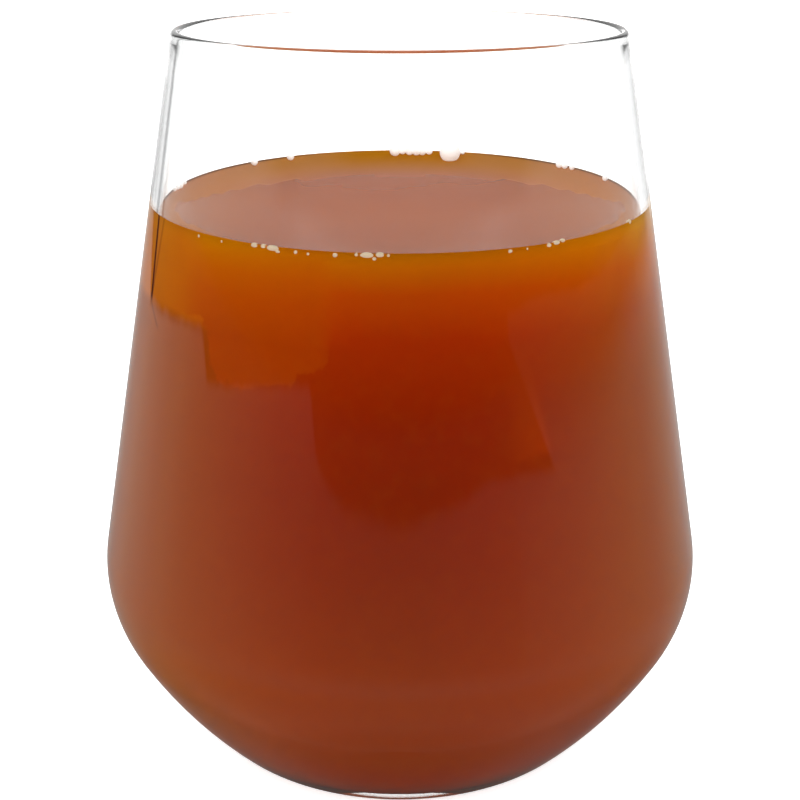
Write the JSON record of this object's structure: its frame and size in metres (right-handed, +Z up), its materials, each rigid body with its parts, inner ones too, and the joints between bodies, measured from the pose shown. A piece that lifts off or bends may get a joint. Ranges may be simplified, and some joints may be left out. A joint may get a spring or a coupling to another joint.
{
  "type": "glass of orange juice",
  "caption": "Stemless tapered drinking glass with a rounded belly and a narrow flat base, filled with cloudy reddish brown orange juice with bubbles along its edge.",
  "frame": {"origin": "centre of the base, on the plane that the glass stands on", "axes": "+Z up along the axis of the glass; -Y faces the viewer of the picture"},
  "size_m": [0.0942, 0.0942, 0.1088],
  "materials": {
    "glass": "clear, polished",
    "juice": "wet, cloudy liquid"
  },
  "bodies": {
    "root": {"glass": "glass", "juice": "juice"}
  },
  "joints": []
}
